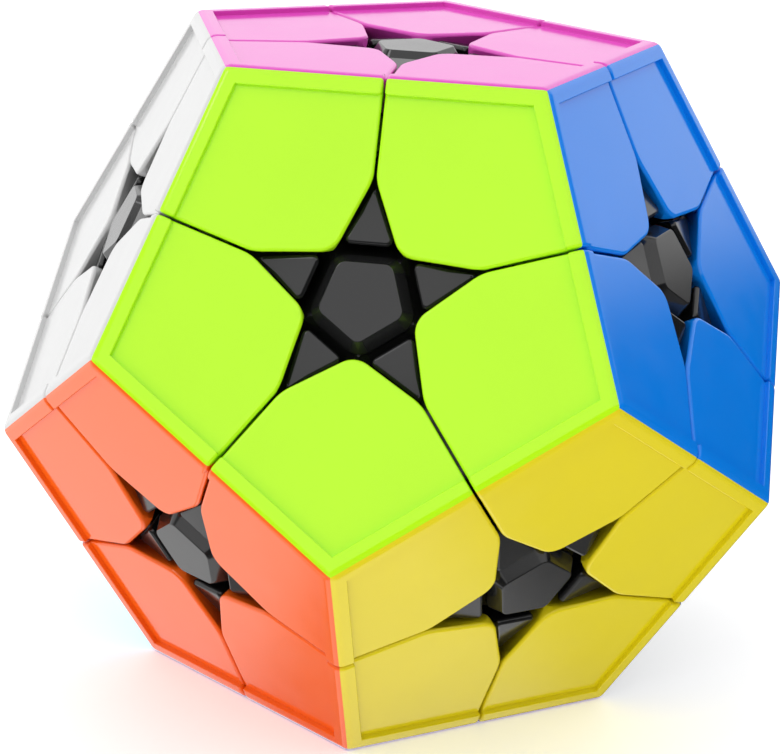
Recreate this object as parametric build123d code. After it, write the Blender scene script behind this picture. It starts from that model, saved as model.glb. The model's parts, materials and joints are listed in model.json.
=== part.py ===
from build123d import *
from math import acos, atan, cos, degrees, hypot, pi, radians, sin, sqrt, tan
from itertools import combinations
import os

os.makedirs("parts", exist_ok=True)

# Twelve-sided turning puzzle. Origin at the middle of the core, +Z out of the pink face.
# All sizes are in millimetres.

# ---- driving dimensions -------------------------------------------------------------
EDGE = 30.0              # edge length of the outer dodecahedron
GAP = 0.30               # gap between two layers that turn against each other
EDGE_ROUND = 1.3         # radius rolled over the outer edges
RIM_WIDTH = 1.65         # raised rim along the outer edges of a tile
RIM_HEIGHT = 0.5         # how far the rim stands above the tile's panel
TILE_DEPTH = 4.0         # from the face plane down to the underside of a tile
STAR_TIP = 11.4          # face centre to a tip of the star opening
STAR_NOTCH = 5.3         # face centre to the inner corner of a tile

CUT_HEIGHT = 18.05       # flat layer cut, measured from the core along the turning axis
CORNER_STALK = 4.1       # degrees from a corner's middle to the sides of its stalk
CORNER_FOOT = 7.9        # and of its foot
EDGE_NECK_END = 8.0      # degrees from an edge piece's middle to its neck's ends, toward its faces
EDGE_NECK_SIDE = 15.3    # and to the neck's sides
EDGE_FOOT_END = 14.4     # the same for its foot
EDGE_FOOT_SIDE = 10.3
CENTRE_CONE = 20.4       # half angle of the cone that a centre's flange lies in
STEP_RADIUS = 21.5       # sphere between the feet and the flanges that hold them
FOOT_RADIUS = 17.3       # sphere that the undersides of the feet lie on

EDGE_TOP = 32.3          # height of an edge piece's visible arrowhead
EDGE_SHOULDER = 27.6     # height of its hidden shoulder
ARROW_FLAT = 7.4         # the arrowhead is flat out to here, then slopes down to its point
ARROW_SLOPE = 0.25       # fall of that slope for each millimetre outward
ARROW_SIDE = 0.45        # space between the arrowhead and the tiles beside it

CENTRE_TOP = 30.7        # top of a centre piece, where its cap sits
CAP_SHOULDER = 31.3      # where the cap's wide bevel starts
CAP_TOP = 32.7           # flat top of the cap
CAP_OUTER = 4.3          # centre to side of the cap at its shoulder
CAP_INNER = 3.35         # centre to side of the cap's flat top
CAP_CORNER = 1.2         # radius of the cap's corners
PLUG_RADIUS = 2.95       # plug of the cap that goes into the centre's well
PLUG_DEPTH = 1.2
WELL_RADIUS = 3.0        # well for the spring and the screw's head
WELL_FLOOR = 22.3
BORE_RADIUS = 1.33       # running bore around the screw's shank
HUB_RADIUS = 4.4
HUB_BOTTOM = 15.8

CORE_RADIUS = 9.0
POST_RADIUS = 3.6
POST_TOP = 15.5
SHANK_RADIUS = 1.25
SHANK_BOTTOM = 6.0
HEAD_BOTTOM = 27.0
HEAD_TOP = 28.9
HEAD_RADIUS = 2.6
SLOT_LENGTH = 3.4
SLOT_WIDTH = 0.7
SLOT_DEPTH = 1.1
WASHER_RADIUS = 2.7
WASHER_BORE = 1.4
WASHER_BOTTOM = 26.5
COIL_RADIUS = 2.1
WIRE_RADIUS = 0.3
COIL_TURNS = 4
COIL_BOTTOM = 22.75

# ---- dimensions that follow ---------------------------------------------------------
GOLDEN = (1 + sqrt(5)) / 2
FACE_HEIGHT = EDGE / 2 * sqrt((25 + 11 * sqrt(5)) / 10)
APOTHEM = EDGE / (2 * tan(pi / 5))
TILT = degrees(acos(1 / sqrt(5)))           # between the axes of two neighbouring faces
RIDGE_ANGLE = degrees(atan(GOLDEN))         # from an axis to the middle of an edge leaving the layer
HALF_GAP = GAP / 2
ROOF = 46.0               # outside everything


def axis(tilt, turn):
    """Unit vector tilted away from +Z and turned about it."""
    out = sin(radians(tilt))
    return Vector(out * cos(radians(turn)), out * sin(radians(turn)), cos(radians(tilt)))


def frame(face, toward):
    """Location whose +Z is the face's axis and whose +Y leans toward the second vector."""
    side = toward - face * toward.dot(face)
    return Location(Plane(origin=(0, 0, 0), x_dir=side.cross(face).normalized(), z_dir=face))


def raised(sketch, bottom, top):
    """A sketch made into a column along +Z between two heights."""
    return Pos(0, 0, bottom) * extrude(sketch, amount=top - bottom, dir=(0, 0, 1))


def beyond(shape, direction, distance):
    """The part of a shape beyond a plane square to direction at a distance from the core."""
    cut = Plane(origin=tuple(direction * distance), z_dir=direction)
    return split(shape, bisect_by=cut, keep=Keep.TOP)


def below(shape, direction, distance):
    """The part of a shape on the core's side of such a plane."""
    cut = Plane(origin=tuple(direction * distance), z_dir=direction)
    return split(shape, bisect_by=cut, keep=Keep.BOTTOM)


def layer_zone():
    """Inside of a layer's cut from the flat plane outward, as a solid turned about +Z."""
    bottom = CUT_HEIGHT + HALF_GAP
    radii = [(h - HALF_GAP / sin(radians(RIDGE_ANGLE))) * GOLDEN for h in (bottom, ROOF)]
    with BuildPart() as zone:
        with BuildSketch(Plane.XZ):
            Polygon((0, bottom), (radii[0], bottom), (radii[1], ROOF), (0, ROOF), align=None)
        revolve(axis=Axis.Z)
    return zone.part


FACE_AXIS = Vector(0, 0, 1)
ZONE = layer_zone()


def zone_about(direction):
    """The layer zone turned from +Z onto a neighbouring face's axis."""
    return frame(direction, FACE_AXIS) * ZONE


def leaned(direction, toward, angle):
    """A unit vector turned away from direction, toward another one, by an angle."""
    side = (toward - direction * toward.dot(direction)).normalized()
    return direction * cos(radians(angle)) + side * sin(radians(angle))


def spoke(middle, sides, floor, roof):
    """Piece of a spherical shell about middle; sides lists (toward, angle) planes through the core."""
    block = Sphere(roof) - Sphere(floor)
    block = beyond(block, middle, floor * 0.7)
    for toward, angle in sides:
        block = below(block, leaned(middle, toward, angle + 90), 0)
    return block


def dodecahedron(inner_radius, rounding):
    """Solid dodecahedron standing on a face, edge midpoints of the top at turn 90."""
    block = Box(4 * FACE_HEIGHT, 4 * FACE_HEIGHT, 2 * inner_radius)
    for k in range(5):
        block = below(block, axis(TILT, 90 + 72 * k), inner_radius)
        block = below(block, axis(180 - TILT, 54 + 72 * k), inner_radius)
    return fillet(block.edges(), rounding)


SHELL = dodecahedron(FACE_HEIGHT, EDGE_ROUND)


def tile():
    """One coloured tile, face axis +Z, its outer vertex toward +Y."""
    left, right = axis(TILT, 126), axis(TILT, 54)
    reach = 2 * APOTHEM
    tip = (STAR_TIP * sin(radians(36)), STAR_TIP * cos(radians(36)))
    far = (reach * sin(radians(36)), reach * cos(radians(36)))
    half = [(0, STAR_NOTCH), tip, far, (0, reach * 1.3)]
    outline = Polygon(*half, *[(-x, y) for x, y in half[2:0:-1]], align=None)
    body = raised(outline, FACE_HEIGHT - TILE_DEPTH, FACE_HEIGHT)
    body = body & (Rot(0, 0, 36) * SHELL)
    for neighbour in (left, right):
        parting = (FACE_AXIS - neighbour).normalized()
        body = beyond(body, parting, 0)
        body = body & zone_about(neighbour)
    corner = (APOTHEM - RIM_WIDTH) / cos(radians(36))
    wide = 1.4 * corner * sin(radians(72))
    end = corner - wide * tan(radians(36))
    panel = Polygon((-wide, -5), (wide, -5), (wide, end), (0, corner), (-wide, end), align=None)
    return body - raised(panel, FACE_HEIGHT - RIM_HEIGHT, FACE_HEIGHT + 1)


def corner_base():
    """Black base of a corner: block under three tiles, stalk and foot."""
    sides = [FACE_AXIS, axis(TILT, 54), axis(TILT, 126)]
    middle = (sides[0] + sides[1] + sides[2]).normalized()
    block = ZONE & zone_about(sides[1]) & zone_about(sides[2])
    for side in sides:
        block = below(block, side, FACE_HEIGHT - TILE_DEPTH)
    away = [-side for side in sides]
    foot = spoke(middle, [(side, CORNER_FOOT) for side in away], FOOT_RADIUS, STEP_RADIUS - HALF_GAP)
    stalk = spoke(middle, [(side, CORNER_STALK) for side in away], FOOT_RADIUS + 1, STEP_RADIUS + 3.5)
    return block + stalk + foot


def arrowhead(side, toward):
    """The part of an edge piece's top that is seen in the star opening of one face."""
    slope = STAR_NOTCH * sin(radians(36)) / (STAR_TIP - STAR_NOTCH * cos(radians(36)))
    tip = STAR_TIP - ARROW_SIDE * sqrt(1 + slope ** 2) / slope
    outline = Polygon((0, tip), (-slope * tip, 0), (slope * tip, 0), align=None)
    head = raised(outline, EDGE_SHOULDER - 1, EDGE_TOP)
    ramp = Plane(origin=(0, ARROW_FLAT, EDGE_TOP), z_dir=(0, ARROW_SLOPE, 1))
    head = split(head, bisect_by=ramp, keep=Keep.BOTTOM)
    head = beyond(head, axis(TILT, 90), CUT_HEIGHT + HALF_GAP)
    return frame(side, toward) * head


def edge_piece():
    """Black edge piece between the faces at +Z and at turn 90."""
    members = [FACE_AXIS, axis(TILT, 90)]
    strangers = [axis(TILT, 18), axis(TILT, 162)]
    middle = (members[0] + members[1]).normalized()
    block = spoke(middle, [(side, EDGE_NECK_SIDE) for side in strangers], FOOT_RADIUS, ROOF)
    for side in members:
        block = below(beyond(block, side, CUT_HEIGHT + HALF_GAP), side, EDGE_SHOULDER)
    for side in strangers:
        block = below(block, side, CUT_HEIGHT - HALF_GAP)

    def sides(end, side):
        return [(to, end) for to in members] + [(to, side) for to in strangers]

    neck = sides(EDGE_NECK_END, EDGE_NECK_SIDE)
    throat = sides(EDGE_NECK_END, EDGE_FOOT_SIDE)
    foot = sides(EDGE_FOOT_END, EDGE_FOOT_SIDE)
    body = block + spoke(middle, neck, STEP_RADIUS + HALF_GAP, STEP_RADIUS + 3)
    body = body + spoke(middle, throat, FOOT_RADIUS + 1, STEP_RADIUS + HALF_GAP + 0.4)
    body = body + spoke(middle, foot, FOOT_RADIUS, STEP_RADIUS - HALF_GAP)
    return body + arrowhead(members[0], members[1]) + arrowhead(members[1], members[0])


def centre():
    """Black centre piece of the face at +Z, with its well and its bore."""
    under = STEP_RADIUS + HALF_GAP
    lip = (under * sin(radians(CENTRE_CONE)), under * cos(radians(CENTRE_CONE)))
    root = (HUB_RADIUS, sqrt(under ** 2 - HUB_RADIUS ** 2))
    bend = ((lip[0] + root[0]) / 2, (lip[1] + root[1]) / 2)
    stretch = under / hypot(*bend)
    with BuildPart() as body:
        with BuildSketch(Plane.XZ):
            with BuildLine():
                Polyline((BORE_RADIUS, HUB_BOTTOM), (HUB_RADIUS, HUB_BOTTOM), root)
                ThreePointArc(root, (bend[0] * stretch, bend[1] * stretch), lip)
                Polyline(lip, (CENTRE_TOP * tan(radians(CENTRE_CONE)), CENTRE_TOP),
                         (WELL_RADIUS, CENTRE_TOP), (WELL_RADIUS, WELL_FLOOR),
                         (BORE_RADIUS, WELL_FLOOR), (BORE_RADIUS, HUB_BOTTOM))
            make_face()
        revolve(axis=Axis.Z)
    shape = body.part
    for k in range(5):
        shape = below(shape, axis(TILT, 90 + 72 * k), CUT_HEIGHT - HALF_GAP)
    return shape


def pentagon(apothem, corner):
    """Regular pentagon with rounded corners, its sides square to the neighbours' directions."""
    outline = RegularPolygon(apothem, 5, major_radius=False, rotation=-90)
    return fillet(outline.vertices(), corner)


def cap():
    """Black pentagonal cap that closes the centre's well."""
    wide = pentagon(CAP_OUTER, CAP_CORNER)
    narrow = pentagon(CAP_INNER, CAP_CORNER * CAP_INNER / CAP_OUTER)
    body = raised(wide, CENTRE_TOP, CAP_SHOULDER)
    bevel = loft([Pos(0, 0, CAP_SHOULDER) * wide, Pos(0, 0, CAP_TOP) * narrow], ruled=True)
    plug = raised(Circle(PLUG_RADIUS), CENTRE_TOP - PLUG_DEPTH, CENTRE_TOP)
    return body + bevel + plug


def screw():
    """Screw along +Z, with a flat round head and a cross slot."""
    body = raised(Circle(SHANK_RADIUS), SHANK_BOTTOM, HEAD_BOTTOM)
    head = raised(Circle(HEAD_RADIUS), HEAD_BOTTOM, HEAD_TOP)
    slot = Rectangle(SLOT_LENGTH, SLOT_WIDTH) + Rectangle(SLOT_WIDTH, SLOT_LENGTH)
    return body + head - raised(slot, HEAD_TOP - SLOT_DEPTH, HEAD_TOP)


def washer():
    """Flat ring under the screw's head."""
    ring = Circle(WASHER_RADIUS) - Circle(WASHER_BORE)
    return raised(ring, WASHER_BOTTOM, HEAD_BOTTOM)


def spring():
    """Round-wire coil that presses the centre toward the core."""
    height = WASHER_BOTTOM - WIRE_RADIUS - COIL_BOTTOM
    path = Helix(pitch=height / COIL_TURNS, height=height, radius=COIL_RADIUS)
    wire = Plane(origin=path @ 0, z_dir=path % 0) * Circle(WIRE_RADIUS)
    return Pos(0, 0, COIL_BOTTOM) * sweep(wire, path)


def core(axes):
    """Ball with twelve posts, each with a hole for its screw."""
    body = Sphere(CORE_RADIUS)
    for direction in axes:
        place = frame(direction, Vector(0.31, 0.47, 0.83))
        body = body + place * raised(Circle(POST_RADIUS), 0, POST_TOP)
    for direction in axes:
        place = frame(direction, Vector(0.31, 0.47, 0.83))
        body = body - place * raised(Circle(SHANK_RADIUS), SHANK_BOTTOM, POST_TOP + 1)
    return body


# ---- where every piece goes -----------------------------------------------------------
UP = 90 - degrees(atan(0.5))
FACES = {"pink": axis(0, 0), "purple": axis(180, 0)}
for k, colour in enumerate(["lime", "blue", "red", "cream", "white"]):
    FACES[colour] = axis(UP, -90 + 72 * k)
for k, colour in enumerate(["yellow", "grey", "green", "sky", "orange"]):
    FACES[colour] = axis(180 - UP, -54 + 72 * k)

LAYERS = {"pink": "pink_layer", "yellow": "yellow_layer", "sky": "sky_layer"}
FIXED = "main"


def touching(one, two):
    """Whether two faces share an edge."""
    return abs(FACES[one].dot(FACES[two]) - cos(radians(TILT))) < 0.01


def body_of(faces):
    """The moving layer that a piece belongs to, or the main body."""
    for face in faces:
        if face in LAYERS:
            return LAYERS[face]
    return FIXED


groups = {}


def place_in(name, shape):
    """Adds a placed shape to the sub-component with this name."""
    groups.setdefault(name, []).append(shape)


TILE, BASE, EDGE_PIECE, CENTRE, CAP = tile(), corner_base(), edge_piece(), centre(), cap()

pairs = [pair for pair in combinations(FACES, 2) if touching(*pair)]
corners = [c for c in combinations(FACES, 3) if all(touching(*pair) for pair in combinations(c, 2))]

for trio in corners:
    body = body_of(trio)
    vertex = FACES[trio[0]] + FACES[trio[1]] + FACES[trio[2]]
    place_in(f"{body}_corner_bases", frame(FACES[trio[0]], vertex) * BASE)
    for face in trio:
        place_in(f"{body}_{face}_tiles", frame(FACES[face], vertex) * TILE)

for pair in pairs:
    place_in(f"{body_of(pair)}_edge_pieces", frame(FACES[pair[0]], FACES[pair[1]]) * EDGE_PIECE)

for face, direction in FACES.items():
    neighbour = next(other for other in FACES if touching(face, other))
    place = frame(direction, FACES[neighbour])
    place_in(f"{body_of([face])}_centres", place * CENTRE)
    place_in(f"{body_of([face])}_caps", place * CAP)
    place_in("screws", place * screw())
    place_in("washers", place * washer())
    place_in("springs", place * spring())

place_in("core", core(list(FACES.values())))

for name, shapes in groups.items():
    solids = [solid for shape in shapes for solid in shape.solids()]
    node = solids[0] if len(solids) == 1 else Compound(children=solids)
    node.label = name
    export_step(node, f"parts/{name}.step")
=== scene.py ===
import json
import math
from functools import partial, reduce
from itertools import combinations

import bmesh
import bpy
import numpy as np
from mathutils import Matrix, Vector


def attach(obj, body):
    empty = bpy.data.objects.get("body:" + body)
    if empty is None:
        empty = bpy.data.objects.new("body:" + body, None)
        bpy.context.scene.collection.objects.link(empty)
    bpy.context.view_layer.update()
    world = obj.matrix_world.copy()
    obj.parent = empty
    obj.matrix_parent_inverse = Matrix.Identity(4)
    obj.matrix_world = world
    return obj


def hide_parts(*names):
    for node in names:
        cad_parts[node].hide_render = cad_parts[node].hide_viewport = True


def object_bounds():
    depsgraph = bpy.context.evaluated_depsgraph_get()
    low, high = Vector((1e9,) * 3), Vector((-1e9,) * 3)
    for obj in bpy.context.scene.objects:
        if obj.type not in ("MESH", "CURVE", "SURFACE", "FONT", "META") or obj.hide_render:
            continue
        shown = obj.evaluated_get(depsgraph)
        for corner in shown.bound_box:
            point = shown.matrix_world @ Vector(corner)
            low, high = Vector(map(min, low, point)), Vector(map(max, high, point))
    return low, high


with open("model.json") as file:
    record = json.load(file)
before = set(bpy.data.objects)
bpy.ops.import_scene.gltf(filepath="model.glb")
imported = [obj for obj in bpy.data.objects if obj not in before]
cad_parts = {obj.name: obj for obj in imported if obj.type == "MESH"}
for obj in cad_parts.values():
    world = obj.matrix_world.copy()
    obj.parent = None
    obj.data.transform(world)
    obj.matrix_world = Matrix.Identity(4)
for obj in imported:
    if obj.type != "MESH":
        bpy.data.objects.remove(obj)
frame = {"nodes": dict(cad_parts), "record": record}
CAD_BOX = [list(corner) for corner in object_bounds()]
BODY_OF = {node: body for body, nodes in frame["record"]["behaviour"]["bodies"].items() for node in nodes}

# All sizes below are in millimetres, and meshes are scaled to metres when they are made.
MM = 0.001

# ---- sizes of the shell ---------------------------------------------------------------
FACE_HEIGHT = CAD_BOX[1][2] / MM                  # core to face plane
GOLDEN = (1 + math.sqrt(5)) / 2
APOTHEM = FACE_HEIGHT / GOLDEN                    # face centre to the middle of an edge
TILT = math.acos(1 / math.sqrt(5))                # between the axes of neighbouring faces
HALF_TILT = TILT / 2
PITCH = math.radians(72)
HALF_PITCH = math.radians(36)

EDGE_ROUND = 1.3          # roll over the outer edges
RIM_WIDTH = 1.65          # raised rim along the outer edges of a tile
RIM_HEIGHT = 0.5
RIM_BEVEL = 0.07          # on the rim's inner corner
TILE_BOTTOM = 4.0         # below the face plane
STAR_TIP = 11.4           # face centre to a tip of the star opening
STAR_NOTCH = 5.15         # face centre to a tile's inner corner
TIP_ROUND = 4.5           # plan radius where a seam opens into the star
NOTCH_ROUND = 2.3         # plan radius of a tile's inner corner
SEAM_HALF = 0.13          # half of the gap between two tiles
TOP_ROUND = 0.32          # round on a tile's seam and star edges

CUT_HEIGHT = 18.05        # flat part of a layer's cut, along the turning axis
CUT_RADIUS = 27.6         # the cut is flat inside this radius
CUT_DIP = ((29.2, 17.71), (29.4, 17.71))    # where it passes under the star's rounded tips
CUT_REACH = 60            # radius where the cut's curve ends, outside the shell
CLEARANCE = 0.08          # a tile's walls keep this far from the cut
RECESS_LIMIT = 6.0        # and move inward by no more than this to do so
KNEE_RANGE = (0.02, 0.9)  # share of a wall's height where its plumb part may end
LAYER_SIDES = ((54, 1), (126, 1), (-18, -1), (198, -1))    # azimuths of the faces beside a tile's own
                                                           # face, 1 where the tile turns with that face

ARC_STEPS = 6             # over the rounded outer edges
ROUND_STEPS = 4           # over the small rounds
WALL_STEPS = 5            # down a tile's walls
FAN_STEPS = 6             # about a tile's outer vertex
PANEL_STEPS = 7           # along a seam in the cut's curve
SEAM_COLUMNS = 6          # along a seam between the rim and the star
PLAN_STEPS = 6            # around the arcs of the star opening
LINE_STEPS = 4            # along the straight part between them
ROLL_START = 3            # index of the first point of the outer roll in a seam's profile


# ---- tile -----------------------------------------------------------------------------
def seam_profile(offset):
    """Points (u, z) over the rim along a seam, panel to outer edge, moved into the tile by offset."""
    wall = APOTHEM - RIM_WIDTH + offset
    top = FACE_HEIGHT - offset
    turn = APOTHEM - EDGE_ROUND * math.tan(HALF_TILT)
    points = [(wall, FACE_HEIGHT - RIM_HEIGHT - offset), (wall, top - RIM_BEVEL), (wall + RIM_BEVEL, top)]
    for k in range(ARC_STEPS + 1):
        angle = HALF_TILT * k / ARC_STEPS
        radius = EDGE_ROUND - offset
        height = FACE_HEIGHT - EDGE_ROUND + radius * math.cos(angle)
        points.append((turn + radius * math.sin(angle), height))
    return points


def cut_point(u, z):
    """A point of the plane between two tiles, as (radius, height) about the axis of the layer it bounds."""
    height = z * math.cos(TILT) + u * math.sin(TILT) * math.cos(PITCH)
    return math.sqrt(u * u + z * z - height * height), height


def cut_curve():
    """Radii and heights of a layer's cut, from the turning axis out to the shell."""
    panel = FACE_HEIGHT - RIM_HEIGHT
    along = [(u, panel) for u in np.linspace(STAR_TIP, APOTHEM - RIM_WIDTH, PANEL_STEPS + 1)]
    points = [(0, CUT_HEIGHT), (CUT_RADIUS, CUT_HEIGHT), *CUT_DIP]
    points += [cut_point(u, z) for u, z in along + seam_profile(0)]
    return np.array(points + [(CUT_REACH, CUT_REACH / GOLDEN)]).T


CUT_RADII, CUT_HEIGHTS = cut_curve()


def crosses_cut(x, y, z):
    """Whether a point of the tile toward +Y would foul a neighbouring layer as it turns."""
    for turn, sign in LAYER_SIDES:
        angle = math.radians(turn)
        height = z * math.cos(TILT) + (x * math.cos(angle) + y * math.sin(angle)) * math.sin(TILT)
        radius = math.sqrt(x * x + y * y + z * z - height * height)
        if sign * (height - np.interp(radius, CUT_RADII, CUT_HEIGHTS)) < CLEARANCE:
            return True
    return False


def turning_point(holds, low, high, rounds):
    """Where a condition that holds at low stops holding before high, as the last two bounds."""
    for _ in range(rounds):
        middle = (low + high) / 2
        if holds(middle):
            low = middle
        else:
            high = middle
    return low, high


def recessed(x, y, z, inward):
    """The point moved into the tile until it clears the cuts."""
    if not crosses_cut(x, y, z):
        return (x, y, z)

    def crosses(depth):
        return crosses_cut(x + inward[0] * depth, y + inward[1] * depth, z)

    depth = turning_point(crosses, 0.0, RECESS_LIMIT, rounds=18)[1]
    return (x + inward[0] * depth, y + inward[1] * depth, z)


def plan(u, s):
    """From distance toward an edge's middle and distance along the edge to x, y."""
    toward = (math.sin(HALF_PITCH), math.cos(HALF_PITCH))
    return (u * toward[0] - s * toward[1], u * toward[1] + s * toward[0])


def arc_points(centre, radius, first, last, steps):
    """Points and outward directions along an arc in plan."""
    found = []
    for k in range(steps + 1):
        angle = first + (last - first) * k / steps
        out = (math.cos(angle), math.sin(angle))
        found.append(((centre[0] + radius * out[0], centre[1] + radius * out[1]), out))
    return found


def star_outline(inset):
    """Half of the tile's inner outline, from the seam's tip to x = 0, as (point, outward) pairs."""
    tip, notch = np.array(plan(STAR_TIP, 0)), np.array((0, STAR_NOTCH))
    along = (notch - tip) / np.linalg.norm(notch - tip)
    out = np.array((along[1], -along[0]))
    if out[1] > 0:
        out = -out
    seam_out = np.array(plan(0, -1))
    seam_angle = math.atan2(seam_out[1], seam_out[0])
    star_angle = math.atan2(out[1], out[0])
    tip_offsets = np.array((seam_out @ tip - SEAM_HALF - TIP_ROUND, out @ tip - TIP_ROUND))
    tip_centre = np.linalg.solve(np.array((seam_out, out)), tip_offsets)
    notch_y = (out @ tip - NOTCH_ROUND) / out[1]
    points = arc_points(tip_centre, TIP_ROUND - inset, seam_angle, star_angle, PLAN_STEPS)
    start = tip_centre + out * (TIP_ROUND - inset)
    end = np.array((0, notch_y)) + out * (NOTCH_ROUND - inset)
    points += [(tuple(start + (end - start) * k / LINE_STEPS), tuple(out)) for k in range(1, LINE_STEPS)]
    points += arc_points((0, notch_y), NOTCH_ROUND - inset, star_angle, -math.pi / 2, PLAN_STEPS)
    return points


class Sheet:
    """Vertices and faces of a half tile, which are joined by place when it is mirrored."""

    def __init__(self):
        self.vertices = []
        self.faces = []

    def add(self, point):
        self.vertices.append(tuple(float(c) for c in point))
        return len(self.vertices) - 1

    def grid(self, rows):
        for upper, lower in zip(rows, rows[1:]):
            for k in range(len(upper) - 1):
                self.faces.append([upper[k], upper[k + 1], lower[k + 1], lower[k]])


def fan_reach(angle):
    """How far the rounding rolls, as an angle, before it meets the neighbouring tile near a vertex."""
    turn = APOTHEM - EDGE_ROUND * math.tan(HALF_TILT)

    def inside(roll):
        u = turn + EDGE_ROUND * math.sin(roll) * math.cos(angle)
        return u * GOLDEN < FACE_HEIGHT - EDGE_ROUND + EDGE_ROUND * math.cos(roll)

    return turning_point(inside, 0.0, 1.0, rounds=40)[0]


def rim_rows(sheet, insets):
    """Rows over the raised rim, one for each point of its profile, from the mitre to the seam."""
    turn = APOTHEM - EDGE_ROUND * math.tan(HALF_TILT)
    rows = []
    for k, (u, z) in enumerate(seam_profile(0)):
        start = min(u, turn) * math.tan(HALF_PITCH)
        row = [sheet.add((*plan(u, start), z))]
        for inset, drop in insets:
            v, h = seam_profile(drop)[k]
            row.append(sheet.add((*plan(v, SEAM_HALF + inset), h)))
        rows.append(row)
    sheet.grid(rows)
    return rows


def corner_fans(sheet, rim):
    """Rows of the ball at the outer vertex, each from the tile's middle to the end of a roll row."""
    turn = APOTHEM - EDGE_ROUND * math.tan(HALF_TILT)
    square = turn * math.tan(HALF_PITCH)
    fans = []
    for k in range(1, ARC_STEPS + 1):
        row = []
        for j in range(FAN_STEPS + 1):
            angle = HALF_PITCH * (1 - j / FAN_STEPS)
            roll = fan_reach(angle) * k / ARC_STEPS
            out = EDGE_ROUND * math.sin(roll)
            point = plan(turn + out * math.cos(angle), square + out * math.sin(angle))
            row.append(sheet.add((*point, FACE_HEIGHT - EDGE_ROUND + EDGE_ROUND * math.cos(roll))))
        row[-1] = rim[ROLL_START + k][0]
        fans.append(row)
    for k in range(FAN_STEPS):
        sheet.faces.append([fans[0][k], fans[0][k + 1], rim[ROLL_START][0]])
    sheet.grid(fans)
    return fans


def inner_columns(sheet, insets, tip_u):
    """Columns down the round along the seam and the star, as (indices, inward direction) pairs."""
    panel = FACE_HEIGHT - RIM_HEIGHT
    columns = []
    for u in np.linspace(APOTHEM - RIM_WIDTH, tip_u, SEAM_COLUMNS + 2)[1:-1]:
        points = [(*plan(u, SEAM_HALF + inset), panel - drop) for inset, drop in insets]
        columns.append(([sheet.add(p) for p in points], np.array(plan(0, 1))))
    outlines = [star_outline(inset) for inset, _ in insets]
    for k in range(len(outlines[0])):
        points = [(*outline[k][0], panel - drop) for outline, (_, drop) in zip(outlines, insets)]
        columns.append(([sheet.add(p) for p in points], -np.array(outlines[0][k][1])))
    return columns


def wall(sheet, index, inward, foot, floor):
    """A column from a vertex down to its foot: plumb to where it would meet the cut, then recessed."""
    x, y, z = sheet.vertices[index]
    head = np.array((x, y))

    def at(share):
        return (*(head + (foot - head) * share), z + (floor - z) * share)

    knee = KNEE_RANGE[0]
    if not crosses_cut(*at(0)):
        reach = turning_point(lambda share: not crosses_cut(*at(share)), 0.0, 1.0, rounds=16)[1]
        knee = min(max(reach, KNEE_RANGE[0]), KNEE_RANGE[1])
    shares = [knee] + [knee + (1 - knee) * k / WALL_STEPS for k in range(1, WALL_STEPS + 1)]
    return [index] + [sheet.add(recessed(*at(share), inward)) for share in shares]


def tile_mesh():
    """One tile with its face's axis along +Z and its outer vertex toward +Y, as vertices and faces."""
    sheet = Sheet()
    floor = FACE_HEIGHT - TILE_BOTTOM
    insets = []
    for j in range(ROUND_STEPS + 1):
        angle = math.pi / 2 * j / ROUND_STEPS
        insets.append((TOP_ROUND * (1 - math.sin(angle)), TOP_ROUND * (1 - math.cos(angle))))

    rim = rim_rows(sheet, insets)
    fans = corner_fans(sheet, rim)
    toward = np.array(plan(1, 0))
    tip_u = np.array(star_outline(insets[-1][0])[0][0]) @ toward
    columns = inner_columns(sheet, insets, tip_u)
    rim_columns = [(row[1:], np.array(plan(0, 1))) for row in rim[::-1]]
    sheet.grid([rim_columns[-1][0]] + [indices for indices, _ in columns])

    # walls below the round, which spread along the seam as they go down
    low_u = floor / GOLDEN
    high_u = seam_profile(TOP_ROUND)[-1][0]
    walls = []
    for number, (indices, inward) in enumerate(rim_columns + columns):
        foot = np.array(sheet.vertices[indices[-1]][:2])
        if number < len(rim_columns) + SEAM_COLUMNS:
            u = foot @ toward
            foot = np.array(plan(tip_u + (u - tip_u) * (low_u - tip_u) / (high_u - tip_u), SEAM_HALF))
        walls.append(wall(sheet, indices[-1], inward, foot, floor))
    sheet.grid(walls)

    # parting faces between the three tiles of a corner
    parting = []
    for index in fans[-1][:-1] + rim[-1][:-1]:
        x, y, z = sheet.vertices[index]
        share = floor / z
        parting.append((index, sheet.add(recessed(x * share, y * share, floor, plan(0, 1)))))
    for (a, low_a), (b, low_b) in zip(parting, parting[1:]):
        sheet.faces.append([b, a, low_a, low_b])
    last, low_last = parting[-1]
    sheet.faces.append([walls[0][0], last, low_last] + walls[0][:0:-1])

    # flat panel and underside, closed over both halves
    count = len(sheet.vertices)
    flat = rim[0][:2] + [indices[0] for indices, _ in columns]
    under = [low for _, low in parting] + [column[-1] for column in walls]
    vertices = sheet.vertices + [(-x, y, z) for x, y, z in sheet.vertices]
    faces = [list(f) for f in sheet.faces] + [[i + count for i in f][::-1] for f in sheet.faces]
    faces.append(flat[::-1] + [i + count for i in flat])
    faces.append(under + [i + count for i in under[::-1]])
    return np.array(vertices), faces


# ---- meshes and pieces ----------------------------------------------------------------
CREASE = 32               # degrees; sharper edges stay sharp in the shading
FACE_WEIGHT = 80          # how strongly large faces pull the shading normals
WELD = 2e-4               # vertices nearer than this are one


def new_object(name, data):
    obj = bpy.data.objects.new(name, data)
    bpy.context.scene.collection.objects.link(obj)
    return obj


def soften(obj):
    """Smooth shading with sharp creases kept and flat faces kept flat."""
    obj.data.polygons.foreach_set("use_smooth", [True] * len(obj.data.polygons))
    obj.data.set_sharp_from_angle(angle=math.radians(CREASE))
    weigh = obj.modifiers.new("weighted_normals", "WEIGHTED_NORMAL")
    weigh.keep_sharp = True
    weigh.weight = FACE_WEIGHT


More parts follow.
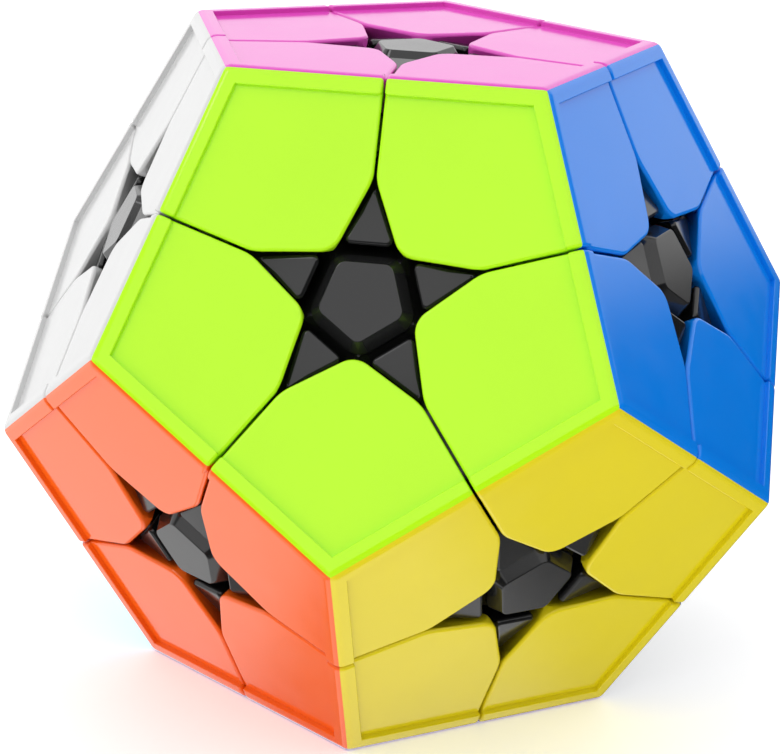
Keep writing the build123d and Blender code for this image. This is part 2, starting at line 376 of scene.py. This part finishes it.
def cleaned(vertices, faces):
    """Welds a mesh in millimetres and gives its vertices and faces back."""
    mesh = bpy.data.meshes.new("work")
    mesh.from_pydata([tuple(v) for v in vertices], [], faces)
    work = bmesh.new()
    work.from_mesh(mesh)
    bmesh.ops.remove_doubles(work, verts=work.verts, dist=WELD)
    bmesh.ops.dissolve_degenerate(work, edges=work.edges, dist=WELD / 20)
    bmesh.ops.recalc_face_normals(work, faces=work.faces)
    loose = [v for v in work.verts if not v.link_faces]
    bmesh.ops.delete(work, geom=loose, context="VERTS")
    work.verts.ensure_lookup_table()
    found = np.array([v.co for v in work.verts]), [[v.index for v in f.verts] for f in work.faces]
    work.free()
    bpy.data.meshes.remove(mesh)
    return found


def joined(parts):
    """Several meshes in millimetres as one."""
    vertices, faces, start = [], [], 0
    for points, polygons in parts:
        vertices.append(points)
        faces += [[i + start for i in polygon] for polygon in polygons]
        start += len(points)
    return np.concatenate(vertices), faces


def moved(part, place):
    """A mesh turned to its place."""
    points, polygons = part
    return points @ np.array(place).T, polygons


def piece(node, part, material):
    """A piece that stands for a CAD node."""
    vertices, faces = part
    mesh = bpy.data.meshes.new(node + "_look")
    mesh.from_pydata((vertices * MM).tolist(), [], faces)
    mesh.materials.append(material)
    obj = new_object(node + "_look", mesh)
    soften(obj)
    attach(obj, BODY_OF[node])
    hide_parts(node)


# ---- where things go ------------------------------------------------------------------
def axis(tilt, turn):
    """Unit vector tilted away from +Z by tilt, at azimuth turn, in degrees."""
    t, a = math.radians(tilt), math.radians(turn)
    return Vector((math.sin(t) * math.cos(a), math.sin(t) * math.sin(a), math.cos(t)))


def rotation(face, toward):
    """Rotation that puts +Z on a face's axis and +Y toward a second direction."""
    up = face.normalized()
    y = (toward - up * toward.dot(up)).normalized()
    return Matrix((y.cross(up), y, up)).transposed()


UP = math.degrees(TILT)
FACES = {"pink": axis(0, 0), "purple": axis(180, 0)}
for k, colour in enumerate(["lime", "blue", "red", "cream", "white"]):
    FACES[colour] = axis(UP, -90 + 72 * k)
for k, colour in enumerate(["yellow", "grey", "green", "sky", "orange"]):
    FACES[colour] = axis(180 - UP, -54 + 72 * k)


def touching(one, two):
    return abs(FACES[one].dot(FACES[two]) - math.cos(TILT)) < 0.01


LAYERS = {"pink": "pink_layer", "yellow": "yellow_layer", "sky": "sky_layer"}


def body_of(faces):
    return next((LAYERS[face] for face in faces if face in LAYERS), "main")


PAIRS = [pair for pair in combinations(FACES, 2) if touching(*pair)]
TRIOS = [trio for trio in combinations(FACES, 3) if all(touching(*pair) for pair in combinations(trio, 2))]


# ---- materials ------------------------------------------------------------------------
DRIFT = 0.03              # share by which a plastic's colour varies
GLOSS_DRIFT = 0.03        # and by which its roughness does
SKIN_STRENGTH = 0.05
SKIN_DEPTH = 0.00004      # metres


def noise(tree, scale, detail=2.0):
    """Noise over the object's own coordinates, as a socket."""
    place = tree.nodes.new("ShaderNodeTexCoord")
    node = tree.nodes.new("ShaderNodeTexNoise")
    node.inputs["Scale"].default_value = scale
    node.inputs["Detail"].default_value = detail
    tree.links.new(place.outputs["Object"], node.inputs["Vector"])
    return node.outputs["Fac"]


def mixed(tree, share, first, second):
    """A colour between two, as a socket."""
    tint = tree.nodes.new("ShaderNodeMix")
    tint.data_type = "RGBA"
    tint.inputs["A"].default_value = (*first, 1)
    tint.inputs["B"].default_value = (*second, 1)
    tree.links.new(share, tint.inputs["Factor"])
    return tint.outputs["Result"]


def plastic(name, colour, roughness, grain=1.0, specular=0.5):
    """Moulded plastic: faint colour drift, uneven gloss and a fine skin of bumps."""
    material = bpy.data.materials.new(name)
    material.use_nodes = True
    tree = material.node_tree
    shader = tree.nodes["Principled BSDF"]
    shader.inputs["IOR"].default_value = 1.49
    shader.inputs["Specular IOR Level"].default_value = specular
    darker, lighter = [c * (1 - DRIFT) for c in colour], [min(1, c * (1 + DRIFT)) for c in colour]
    tree.links.new(mixed(tree, noise(tree, 90.0), darker, lighter), shader.inputs["Base Color"])

    gloss = tree.nodes.new("ShaderNodeMapRange")
    gloss.inputs["From Min"].default_value = 0.3
    gloss.inputs["From Max"].default_value = 0.7
    gloss.inputs["To Min"].default_value = roughness - GLOSS_DRIFT
    gloss.inputs["To Max"].default_value = roughness + GLOSS_DRIFT
    tree.links.new(noise(tree, 260.0, detail=4.0), gloss.inputs["Value"])
    tree.links.new(gloss.outputs["Result"], shader.inputs["Roughness"])

    bump = tree.nodes.new("ShaderNodeBump")
    bump.inputs["Strength"].default_value = SKIN_STRENGTH * grain
    bump.inputs["Distance"].default_value = SKIN_DEPTH
    tree.links.new(noise(tree, 5200.0, detail=3.0), bump.inputs["Height"])
    tree.links.new(bump.outputs["Normal"], shader.inputs["Normal"])
    return material


def metal(name, colour, roughness):
    """Bare steel with the same uneven gloss and a stronger skin."""
    material = plastic(name, colour, roughness, grain=2.0)
    material.node_tree.nodes["Principled BSDF"].inputs["Metallic"].default_value = 1.0
    return material


TILE_COLOURS = {
    "pink": (0.78, 0.08, 0.55),
    "lime": (0.48, 0.92, 0.008),
    "blue": (0.002, 0.218, 0.83),
    "red": (0.62, 0.012, 0.02),
    "cream": (0.86, 0.74, 0.42),
    "white": (0.60, 0.60, 0.60),
    "yellow": (0.765, 0.64, 0.008),
    "grey": (0.22, 0.23, 0.25),
    "green": (0.005, 0.24, 0.06),
    "sky": (0.10, 0.52, 0.84),
    "orange": (0.90, 0.126, 0.008),
    "purple": (0.20, 0.03, 0.42),
}
TILE_ROUGHNESS = 0.14
MATERIALS = {
    colour: plastic(f"{colour}_plastic", value, TILE_ROUGHNESS) for colour, value in TILE_COLOURS.items()
}
BLACK = plastic("black_plastic", (0.012, 0.012, 0.0125), 0.16, specular=0.6)
CAP_BLACK = plastic("cap_plastic", (0.013, 0.013, 0.0135), 0.14, specular=0.6)
CORE_PLASTIC = plastic("core_plastic", (0.75, 0.75, 0.72), 0.4)
STEEL = metal("screw_steel", (0.62, 0.61, 0.60), 0.28)
SPRING_STEEL = metal("spring_steel", (0.55, 0.55, 0.56), 0.25)
WASHER_STEEL = metal("washer_steel", (0.66, 0.66, 0.67), 0.3)


# ---- tiles ----------------------------------------------------------------------------
TILE = cleaned(*tile_mesh())
wanted = {}
for trio in TRIOS:
    vertex = FACES[trio[0]] + FACES[trio[1]] + FACES[trio[2]]
    for face in trio:
        node = f"{body_of(trio)}_{face}_tiles"
        wanted.setdefault((node, face), []).append(rotation(FACES[face], vertex))
for (node, face), placements in wanted.items():
    tiles = joined([moved(TILE, place) for place in placements])
    piece(node, tiles, MATERIALS[face])


# ---- black pieces ---------------------------------------------------------------------
EDGE_TOP = 32.3           # height of an edge piece's arrowheads
ARROW_SHOULDER = 27.6     # height of the edge piece below them
SHOULDER_LEFT = 0.02      # how far over its shoulder an edge piece is cut back
ARROW_ROOT = 0.6          # how far an arrowhead reaches below the shoulder
ARROW_INNER = 5.15        # face centre to the arrowhead's inner side
ARROW_FLAT = 7.4          # flat out to here, then a shallow slope
ARROW_SLOPE = 0.25
ARROW_LEAN_END = 8.4      # the inner side leans back, less and less out to here
ARROW_SIDE = 0.14         # space to the tiles
ARROW_ROUND = 0.42        # over the top edges
ARROW_CORNERS = (0.55, 0.28, 0.55)    # plan radii, the tip's in the middle

CENTRE_TOP = 30.7
LEDGE = 4.05              # a centre slopes away outside this distance from its axis
CAP_LIFT = 0.02           # from the centre's top to the cap
CAP_SHOULDER = 31.3       # foot of the cap's bevel
CAP_TOP = 32.7
CAP_OUTER = 4.3           # axis to the middle of a side, below the bevel
CAP_INNER = 3.35          # and above it
CAP_CORNER = 1.85         # plan radius
CAP_FOOT_ROUND = 0.12
CAP_TOP_ROUND = 0.16

BLOCK_INSET = 0.75        # from a corner's parting planes to its block
CAD_WELD = 0.003          # vertices of a CAD mesh nearer than this are one
FLAT_ANGLE = 0.6          # degrees; faces that differ by less become one
CORNER_STEPS = 5          # around a corner in plan
BEVEL_STEPS = 4           # over a small round


def rounded_polygon(corners, radii, inset, steps=CORNER_STEPS):
    """Corners joined by arcs, moved inward by inset, anticlockwise."""
    points = []
    count = len(corners)
    for k in range(count):
        before, here, after = (np.array(corners[(k + i) % count], float) for i in (-1, 0, 1))
        into = (here - before) / np.linalg.norm(here - before)
        away = (after - here) / np.linalg.norm(after - here)
        out_a, out_b = np.array((into[1], -into[0])), np.array((away[1], -away[0]))
        radius = radii[k]
        offsets = np.array((out_a @ here - radius, out_b @ here - radius))
        centre = np.linalg.solve(np.array((out_a, out_b)), offsets)
        first = math.atan2(out_a[1], out_a[0])
        sweep = (math.atan2(out_b[1], out_b[0]) - first) % (2 * math.pi)
        for j in range(steps + 1):
            angle = first + sweep * j / steps
            points.append(centre + (radius - inset) * np.array((math.cos(angle), math.sin(angle))))
    return points


def closed_loft(rows):
    """A closed mesh through rows of points, bottom row first."""
    count = len(rows[0])
    vertices = [p for row in rows for p in row]
    faces = [list(range(count))[::-1]]
    for level in range(len(rows) - 1):
        for k in range(count):
            a, b = level * count + k, level * count + (k + 1) % count
            faces.append([a, b, b + count, a + count])
    faces.append([(len(rows) - 1) * count + k for k in range(count)])
    return np.array(vertices), faces


def arrowhead_mesh():
    """The visible top of an edge piece in one face, its tip toward +Y."""
    slope = STAR_NOTCH * math.sin(HALF_PITCH) / (STAR_TIP - STAR_NOTCH * math.cos(HALF_PITCH))
    tip = STAR_TIP - ARROW_SIDE * math.sqrt(1 + slope ** 2) / slope
    half = slope * (tip - ARROW_INNER)
    outline = [(half, ARROW_INNER), (0, tip), (-half, ARROW_INNER)]
    root = ARROW_SHOULDER - ARROW_ROOT
    spread = (EDGE_TOP - ARROW_ROUND - root) / math.tan(TILT)
    foot = []
    for x, y in rounded_polygon(outline, ARROW_CORNERS, 0):
        share = max(0, min(1, (ARROW_LEAN_END - y) / (ARROW_LEAN_END - ARROW_INNER)))
        foot.append((x, y + share * spread, root))
    rows = [foot]
    for j in range(BEVEL_STEPS, -1, -1):
        angle = math.pi / 2 * j / BEVEL_STEPS
        top = EDGE_TOP - ARROW_ROUND * (1 - math.cos(angle))
        plan_row = rounded_polygon(outline, ARROW_CORNERS, ARROW_ROUND * (1 - math.sin(angle)))
        rows.append([(x, y, top - max(0, y - ARROW_FLAT) * ARROW_SLOPE) for x, y in plan_row])
    return closed_loft(rows)


def cap_mesh():
    """Pentagonal cap with a wide bevel; its sides face the neighbouring faces."""
    outline = arc_points((0, 0), CAP_OUTER / math.cos(HALF_PITCH), math.radians(54), math.radians(342), 4)
    run, rise = CAP_OUTER - CAP_INNER, CAP_TOP - CAP_SHOULDER
    lean = math.atan2(run, rise)
    foot = (CAP_FOOT_ROUND, CAP_SHOULDER - CAP_FOOT_ROUND * math.tan(lean / 2))
    top = (run + CAP_TOP_ROUND * math.tan((math.pi / 2 - lean) / 2), CAP_TOP - CAP_TOP_ROUND)
    profile = [(0.0, CENTRE_TOP + CAP_LIFT)]
    for radius, centre, first, last in (
            (CAP_FOOT_ROUND, foot, 0.0, lean), (CAP_TOP_ROUND, top, lean, math.pi / 2)):
        for k in range(BEVEL_STEPS + 1):
            angle = first + (last - first) * k / BEVEL_STEPS
            profile.append((centre[0] - radius * math.cos(angle), centre[1] + radius * math.sin(angle)))
    corners = [point for point, _ in outline]
    rows = []
    for inset, z in profile:
        rows.append([(x, y, z) for x, y in rounded_polygon(corners, [CAP_CORNER] * 5, inset)])
    return closed_loft(rows)


def refined(node, cutters):
    """The CAD node's shape with clean flat faces, each of its shells cut back by planes."""
    mesh = frame["nodes"][node].data.copy()
    work = bmesh.new()
    work.from_mesh(mesh)
    bpy.data.meshes.remove(mesh)
    bmesh.ops.remove_doubles(work, verts=work.verts, dist=CAD_WELD * MM)
    bmesh.ops.dissolve_limit(work, angle_limit=math.radians(FLAT_ANGLE), verts=work.verts, edges=work.edges)
    for verts in islands(work):
        middle = sum((v.co for v in verts), Vector()) / len(verts)
        for normal, distance in cutters(middle):
            cut_island(work, verts, normal, distance * MM)
    bmesh.ops.recalc_face_normals(work, faces=work.faces)
    work.verts.index_update()
    found = np.array([v.co for v in work.verts]) / MM, [[v.index for v in f.verts] for f in work.faces]
    work.free()
    return found


def islands(work):
    """Vertices of each separate shell, always in the same order."""
    seen, found = set(), []
    for first in work.verts:
        if first in seen:
            continue
        seen.add(first)
        shell = [first]
        for vert in shell:
            for edge in vert.link_edges:
                other = edge.other_vert(vert)
                if other not in seen:
                    seen.add(other)
                    shell.append(other)
        found.append(shell)
    return found


def cut_island(work, verts, normal, distance):
    """Cuts away one shell's part beyond a plane and closes it; verts is kept up to date."""
    shell = dict.fromkeys(verts)
    edges = dict.fromkeys(e for v in shell for e in v.link_edges)
    faces = dict.fromkeys(f for v in shell for f in v.link_faces)
    result = bmesh.ops.bisect_plane(work, geom=[*shell, *edges, *faces], dist=1e-7,
                                    plane_co=normal * distance, plane_no=normal, clear_outer=True)
    rim = [g for g in result["geom_cut"] if isinstance(g, bmesh.types.BMEdge)]
    if rim:
        bmesh.ops.edgeloop_fill(work, edges=rim)
    alive = [v for v in verts if v.is_valid]
    verts[:] = alive + [g for g in result["geom_cut"] if isinstance(g, bmesh.types.BMVert)]


ARROWHEAD, CAP = arrowhead_mesh(), cap_mesh()


def edge_cutters(middle):
    """Planes over an edge piece's shoulder, under its arrowheads."""
    near = sorted(FACES.values(), key=lambda face: -face.dot(middle))[:2]
    return [(face, ARROW_SHOULDER + SHOULDER_LEFT) for face in near]


def centre_cutters(middle):
    """Planes that slope a centre's rim away from its cap."""
    face = max(FACES.values(), key=lambda other: other.dot(middle))
    near = sorted(FACES.values(), key=lambda other: -other.dot(face))[1:6]
    distance = (CENTRE_TOP + LEDGE) / math.sqrt(2)
    outward = [(other - face * other.dot(face)).normalized() for other in near]
    return [((face + away).normalized(), distance) for away in outward]


def corner_cutters(middle):
    """Planes that keep a corner's block behind its tiles' walls."""
    near = sorted(FACES.values(), key=lambda face: -face.dot(middle))[:3]
    total = near[0] + near[1] + near[2]
    found = []
    for face in near:
        others = total - face
        side = (face - others * (face.dot(others) / others.dot(others))).normalized()
        found.append((-side, -BLOCK_INSET))
    return found


for body in ("main", "pink_layer", "yellow_layer", "sky_layer"):
    mine = [pair for pair in PAIRS if body_of(pair) == body]
    heads = [moved(ARROWHEAD, rotation(FACES[a], FACES[b])) for pair in mine for a, b in (pair, pair[::-1])]
    edges = refined(f"{body}_edge_pieces", edge_cutters)
    piece(f"{body}_edge_pieces", joined([edges] + heads), BLACK)
    faces_here = [face for face in FACES if body_of([face]) == body]
    caps = []
    for face in faces_here:
        neighbour = next(other for other in FACES if touching(face, other))
        caps.append(moved(CAP, rotation(FACES[face], FACES[neighbour])))
    piece(f"{body}_caps", joined(caps), CAP_BLACK)
    for node, cutters in ((f"{body}_centres", centre_cutters), (f"{body}_corner_bases", corner_cutters)):
        piece(node, refined(node, cutters), BLACK)

for node, material in (("core", CORE_PLASTIC), ("screws", STEEL), ("springs", SPRING_STEEL),
                       ("washers", WASHER_STEEL)):
    data = frame["nodes"][node].data
    data.materials.clear()
    data.materials.append(material)


# ---- stage ----------------------------------------------------------------------------
FLOOR_REACH = 4           # metres from the middle
FLOOR_GLOW = 0.30
KEY_PLACE = Vector((-0.55, -0.45, 0.75))
KEY_SIDE = 0.3            # metres
KEY_POWER = 1.1           # watts

STUDIO_LEVEL = 1.2        # brightness of the white walls
DARK_GLOW = 0.42          # brightness of the dark parts, times the square of the direction's height
MIDDLE_FADE = (-0.05, 0.05)             # from left to right
RIGHT_PANEL_FADE = (0.045, -0.012)      # under the white panel on the right
FLOOR_PANEL_FADE = (-0.875, -0.855)     # around the white panel straight below
RING_FADE = (-0.750, -0.765)            # the dark ring around that panel, on the left
FRONT_TOP_FADE = (0.14, 0.0)            # the dark front, from just over the horizon
FRONT_SIDE_FADE = (-0.15, -0.3)
FRONT_FOOT_FADE = (-0.66, -0.60)
GAP_DARKNESS = 0.8
GAP_CORE = 0.7            # share of a gap's radius that is fully dark


def compass(turn, rise):
    """Unit vector at an azimuth and an elevation, in degrees."""
    return axis(90 - rise, turn)


# up from the lower edge of the white panel on the right, which passes through two directions
RIGHT_PANEL_UP = compass(50.0, 2.9).cross(compass(47.0, 4.2)).normalized()
if RIGHT_PANEL_UP.z < 0:
    RIGHT_PANEL_UP = -RIGHT_PANEL_UP
BOX_GAPS = (              # direction and angular radius of the dark gaps between the soft boxes
    (Vector((-0.70, -0.40, 0.59)), 0.38),
    (Vector((0.88, 0.22, 0.40)), 0.35),
    (Vector((-0.12, 0.40, 0.90)), 0.26),
)


def floor_material():
    """White paper with a faint glow."""
    material = bpy.data.materials.new("paper_floor")
    material.use_nodes = True
    tree = material.node_tree
    shader = tree.nodes["Principled BSDF"]
    shader.inputs["Roughness"].default_value = 0.8
    fibres = mixed(tree, noise(tree, 400.0), [0.93] * 3, [0.96] * 3)
    tree.links.new(fibres, shader.inputs["Base Color"])
    shader.inputs["Emission Color"].default_value = (1, 1, 1, 1)
    shader.inputs["Emission Strength"].default_value = FLOOR_GLOW
    return material


ground = CAD_BOX[0][2]
square = [(-1, -1), (1, -1), (1, 1), (-1, 1)]
floor_mesh = bpy.data.meshes.new("floor")
floor_mesh.from_pydata([(x * FLOOR_REACH, y * FLOOR_REACH, ground) for x, y in square], [], [(0, 1, 2, 3)])
floor_mesh.materials.append(floor_material())
floor = new_object("floor", floor_mesh)
floor.visible_glossy = False

key_light = bpy.data.lights.new("key", "AREA")
key_light.shape = "SQUARE"
key_light.size = KEY_SIDE
key_light.energy = KEY_POWER
key = new_object("key", key_light)
key.location = KEY_PLACE
key.rotation_euler = (-KEY_PLACE).to_track_quat("-Z", "Y").to_euler()


def studio_world():
    """White walls, dark low on the right, in the front and in a ring below, with dark gaps above."""
    world = bpy.data.worlds.new("studio")
    world.use_nodes = True
    nodes, links = world.node_tree.nodes, world.node_tree.links
    place = nodes.new("ShaderNodeTexCoord")
    split = nodes.new("ShaderNodeSeparateXYZ")
    links.new(place.outputs["Generated"], split.inputs["Vector"])

    def dot(vector):
        node = nodes.new("ShaderNodeVectorMath")
        node.operation = "DOT_PRODUCT"
        node.inputs[1].default_value = vector
        links.new(place.outputs["Generated"], node.inputs[0])
        return node.outputs["Value"]

    def step(value, low, high):
        node = nodes.new("ShaderNodeMapRange")
        node.interpolation_type = "SMOOTHSTEP"
        node.inputs["From Min"].default_value = low
        node.inputs["From Max"].default_value = high
        links.new(value, node.inputs["Value"])
        return node.outputs["Result"]

    def math_node(operation, a, b):
        node = nodes.new("ShaderNodeMath")
        node.operation = operation
        for socket, value in zip(node.inputs, (a, b)):
            if isinstance(value, float):
                socket.default_value = value
            else:
                links.new(value, socket)
        return node.outputs["Value"]

    def product(*values):
        return reduce(partial(math_node, "MULTIPLY"), values)

    side, height = split.outputs["X"], split.outputs["Z"]
    right = step(side, *MIDDLE_FADE)
    left = math_node("SUBTRACT", 1.0, right)
    above_floor_panel = step(height, *FLOOR_PANEL_FADE)
    right_dark = product(step(dot(RIGHT_PANEL_UP), *RIGHT_PANEL_FADE), right, above_floor_panel)
    left_dark = product(step(height, *RING_FADE), above_floor_panel, left)
    front_dark = product(step(height, *FRONT_TOP_FADE), step(split.outputs["Y"], *FRONT_SIDE_FADE),
                         step(height, *FRONT_FOOT_FADE))
    dark = math_node("MAXIMUM", math_node("ADD", right_dark, left_dark), front_dark)
    for direction, reach in BOX_GAPS:
        gap = step(dot(direction.normalized()), math.cos(reach), math.cos(reach * GAP_CORE))
        dark = math_node("MAXIMUM", dark, math_node("MULTIPLY", gap, GAP_DARKNESS))
    lit = math_node("MULTIPLY", math_node("SUBTRACT", 1.0, dark), STUDIO_LEVEL)
    level = math_node("ADD", lit, product(dark, height, height, DARK_GLOW))
    links.new(level, nodes["Background"].inputs["Strength"])
    nodes["Background"].inputs["Color"].default_value = (1, 1, 1, 1)
    return world


bpy.context.scene.world = studio_world()
bpy.context.scene.view_settings.view_transform = "Standard"

VIEW_FROM = (0.028049, -0.219644, 0.072991)
VIEW_RIGHT = Vector((0.98831, 0.14536, 0.04586))
VIEW_AHEAD = Vector((-0.12304, 0.93840, -0.32291)).normalized()

camera = bpy.data.cameras.new("camera")
camera.lens = 102.03
camera.sensor_width = 36.0
camera.clip_start = 0.01
camera.clip_end = 50
viewer = new_object("camera", camera)
right = (VIEW_RIGHT - VIEW_AHEAD * VIEW_RIGHT.dot(VIEW_AHEAD)).normalized()
turn = Matrix((right, right.cross(VIEW_AHEAD), -VIEW_AHEAD)).transposed().to_4x4()
viewer.matrix_world = Matrix.Translation(VIEW_FROM) @ turn
bpy.context.scene.camera = viewer
